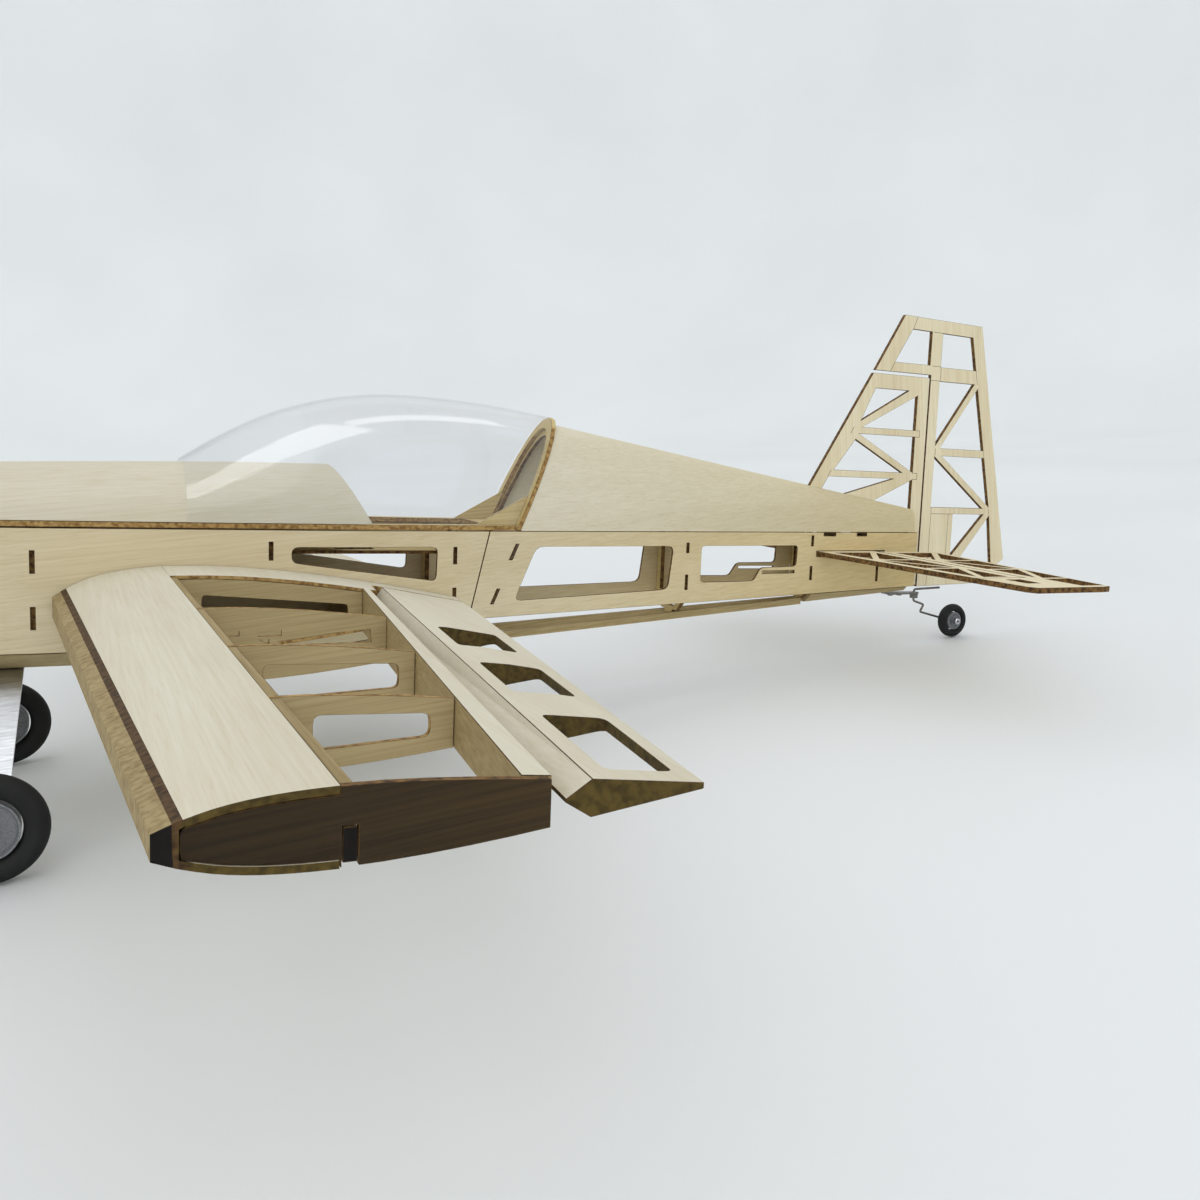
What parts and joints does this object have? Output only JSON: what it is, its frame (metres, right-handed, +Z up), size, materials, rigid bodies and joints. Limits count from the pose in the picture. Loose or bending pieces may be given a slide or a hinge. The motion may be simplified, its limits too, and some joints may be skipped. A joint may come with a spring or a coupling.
{
  "type": "model aeroplane airframe",
  "caption": "Uncovered balsa and ply radio-control aerobatic airframe with clear canopy hatch, hinged ailerons, elevators and rudder, steered tail wheel and fixed main gear.",
  "frame": {"origin": "on the ground under the centre of the bounding box, as the aeroplane stands on its three wheels", "axes": "+Z up, +Y towards the starboard (right) wing tip, +X towards the tail; the fuselage's deck line is pitched 6.5 degrees nose-up about Y"},
  "size_m": [0.8684, 1, 0.2652],
  "materials": {
    "balsa_sheet": "bare sanded balsa sheet, fine pale grain",
    "balsa_side": "bare laser-cut balsa, warmer grain with browned cut edges",
    "birch_ply": "thin birch plywood with dark burnt edges",
    "dark_ply": "laser-cut ply with scorched faces",
    "clear_sheet": "thin clear vacuum-formed sheet",
    "black_rubber": "matt foam rubber",
    "grey_plastic": "moulded grey plastic",
    "steel_wire": "bright spring steel and plated collars",
    "aluminium": "bare aluminium, lightly brushed"
  },
  "bodies": {
    "airframe": {"side_front_left": "balsa_side", "side_front_right": "balsa_side", "side_rear_left": "balsa_side", "side_rear_right": "balsa_side", "firewall": "birch_ply", "former_wing_front": "birch_ply", "former_wing_rear": "birch_ply", "former_slanted": "birch_ply", "former_mid": "birch_ply", "former_rear": "birch_ply", "former_tail": "birch_ply", "turtle_deck": "balsa_sheet", "belly_rail_left": "balsa_side", "belly_rail_right": "balsa_side", "belly_front": "balsa_side", "belly_rear": "balsa_side", "radio_tray": "birch_ply", "gear_plate": "birch_ply", "wing_tube": "aluminium", "wing_rib_1_left": "balsa_side", "wing_rib_1_right": "balsa_side", "wing_rib_2_left": "balsa_side", "wing_rib_2_right": "balsa_side", "wing_rib_3_left": "balsa_side", "wing_rib_3_right": "balsa_side", "wing_rib_4_left": "balsa_side", "wing_rib_4_right": "balsa_side", "wing_rib_5_left": "balsa_side", "wing_rib_5_right": "balsa_side", "wing_rib_6_left": "dark_ply", "wing_rib_6_right": "dark_ply", "leading_edge_box_left": "balsa_sheet", "leading_edge_box_right": "balsa_sheet", "main_spar_left": "dark_ply", "main_spar_right": "dark_ply", "rear_spar_left": "balsa_sheet", "rear_spar_right": "balsa_sheet", "root_fairing_left": "balsa_sheet", "root_fairing_right": "balsa_sheet", "fin": "balsa_sheet", "stabiliser": "balsa_sheet", "tail_bracket": "steel_wire", "main_gear_leg": "aluminium", "main_axle_left": "steel_wire", "main_axle_right": "steel_wire"},
    "hatch": {"hatch_frame": "birch_ply", "deck_sheet": "balsa_sheet", "canopy": "clear_sheet"},
    "aileron_left": {"aileron_left": "balsa_sheet"},
    "aileron_right": {"aileron_right": "balsa_sheet"},
    "elevator_left": {"elevator_left": "balsa_sheet"},
    "elevator_right": {"elevator_right": "balsa_sheet"},
    "rudder": {"rudder": "balsa_sheet", "tail_strut": "steel_wire"},
    "tail_wheel": {"tail_tyre": "black_rubber", "tail_hub": "grey_plastic"},
    "main_wheel_left": {"main_tyre_left": "black_rubber", "main_hub_left": "grey_plastic"},
    "main_wheel_right": {"main_tyre_right": "black_rubber", "main_hub_right": "grey_plastic"}
  },
  "joints": [
    {"name": "aileron_left_hinge", "type": "hinge", "parent": "airframe", "child": "aileron_left", "pos_m": [-0.14095, -0.2815, 0.11389], "axis": [0.1259, 0.9907, -0.0514], "range_deg": [-25, 25]},
    {"name": "aileron_right_hinge", "type": "hinge", "parent": "airframe", "child": "aileron_right", "pos_m": [-0.14095, 0.2815, 0.11389], "axis": [-0.1259, 0.9907, 0.0514], "range_deg": [-25, 25]},
    {"name": "elevator_left_hinge", "type": "hinge", "parent": "airframe", "child": "elevator_left", "pos_m": [0.28308, -0.1255, 0.08249], "axis": [0.0736, 0.9972, -0.0084], "range_deg": [-28, 28]},
    {"name": "elevator_right_hinge", "type": "hinge", "parent": "airframe", "child": "elevator_right", "pos_m": [0.28308, 0.1255, 0.08249], "axis": [-0.0736, 0.9972, 0.0084], "range_deg": [-28, 28]},
    {"name": "rudder_hinge", "type": "hinge", "parent": "airframe", "child": "rudder", "pos_m": [0.34835, 0, 0.13172], "axis": [0.1132, 0, 0.9936], "range_deg": [-28, 28]},
    {"name": "tail_wheel_spin", "type": "hinge", "parent": "rudder", "child": "tail_wheel", "pos_m": [0.37623, -0.002, 0.01421], "axis": [0, 1, 0], "continuous": true},
    {"name": "main_wheel_left_spin", "type": "hinge", "parent": "airframe", "child": "main_wheel_left", "pos_m": [-0.31315, -0.112, 0.02791], "axis": [0, 1, 0], "continuous": true},
    {"name": "main_wheel_right_spin", "type": "hinge", "parent": "airframe", "child": "main_wheel_right", "pos_m": [-0.31315, 0.112, 0.02791], "axis": [0, 1, 0], "continuous": true},
    {"name": "hatch_lift", "type": "slide", "parent": "airframe", "child": "hatch", "axis": [0.1132, 0, 0.9936], "range_m": [0, 0.08]}
  ],
  "couplings": [
    {"joint": "aileron_right_hinge", "follows": "aileron_left_hinge", "ratio": -1},
    {"joint": "elevator_right_hinge", "follows": "elevator_left_hinge", "ratio": 1}
  ]
}
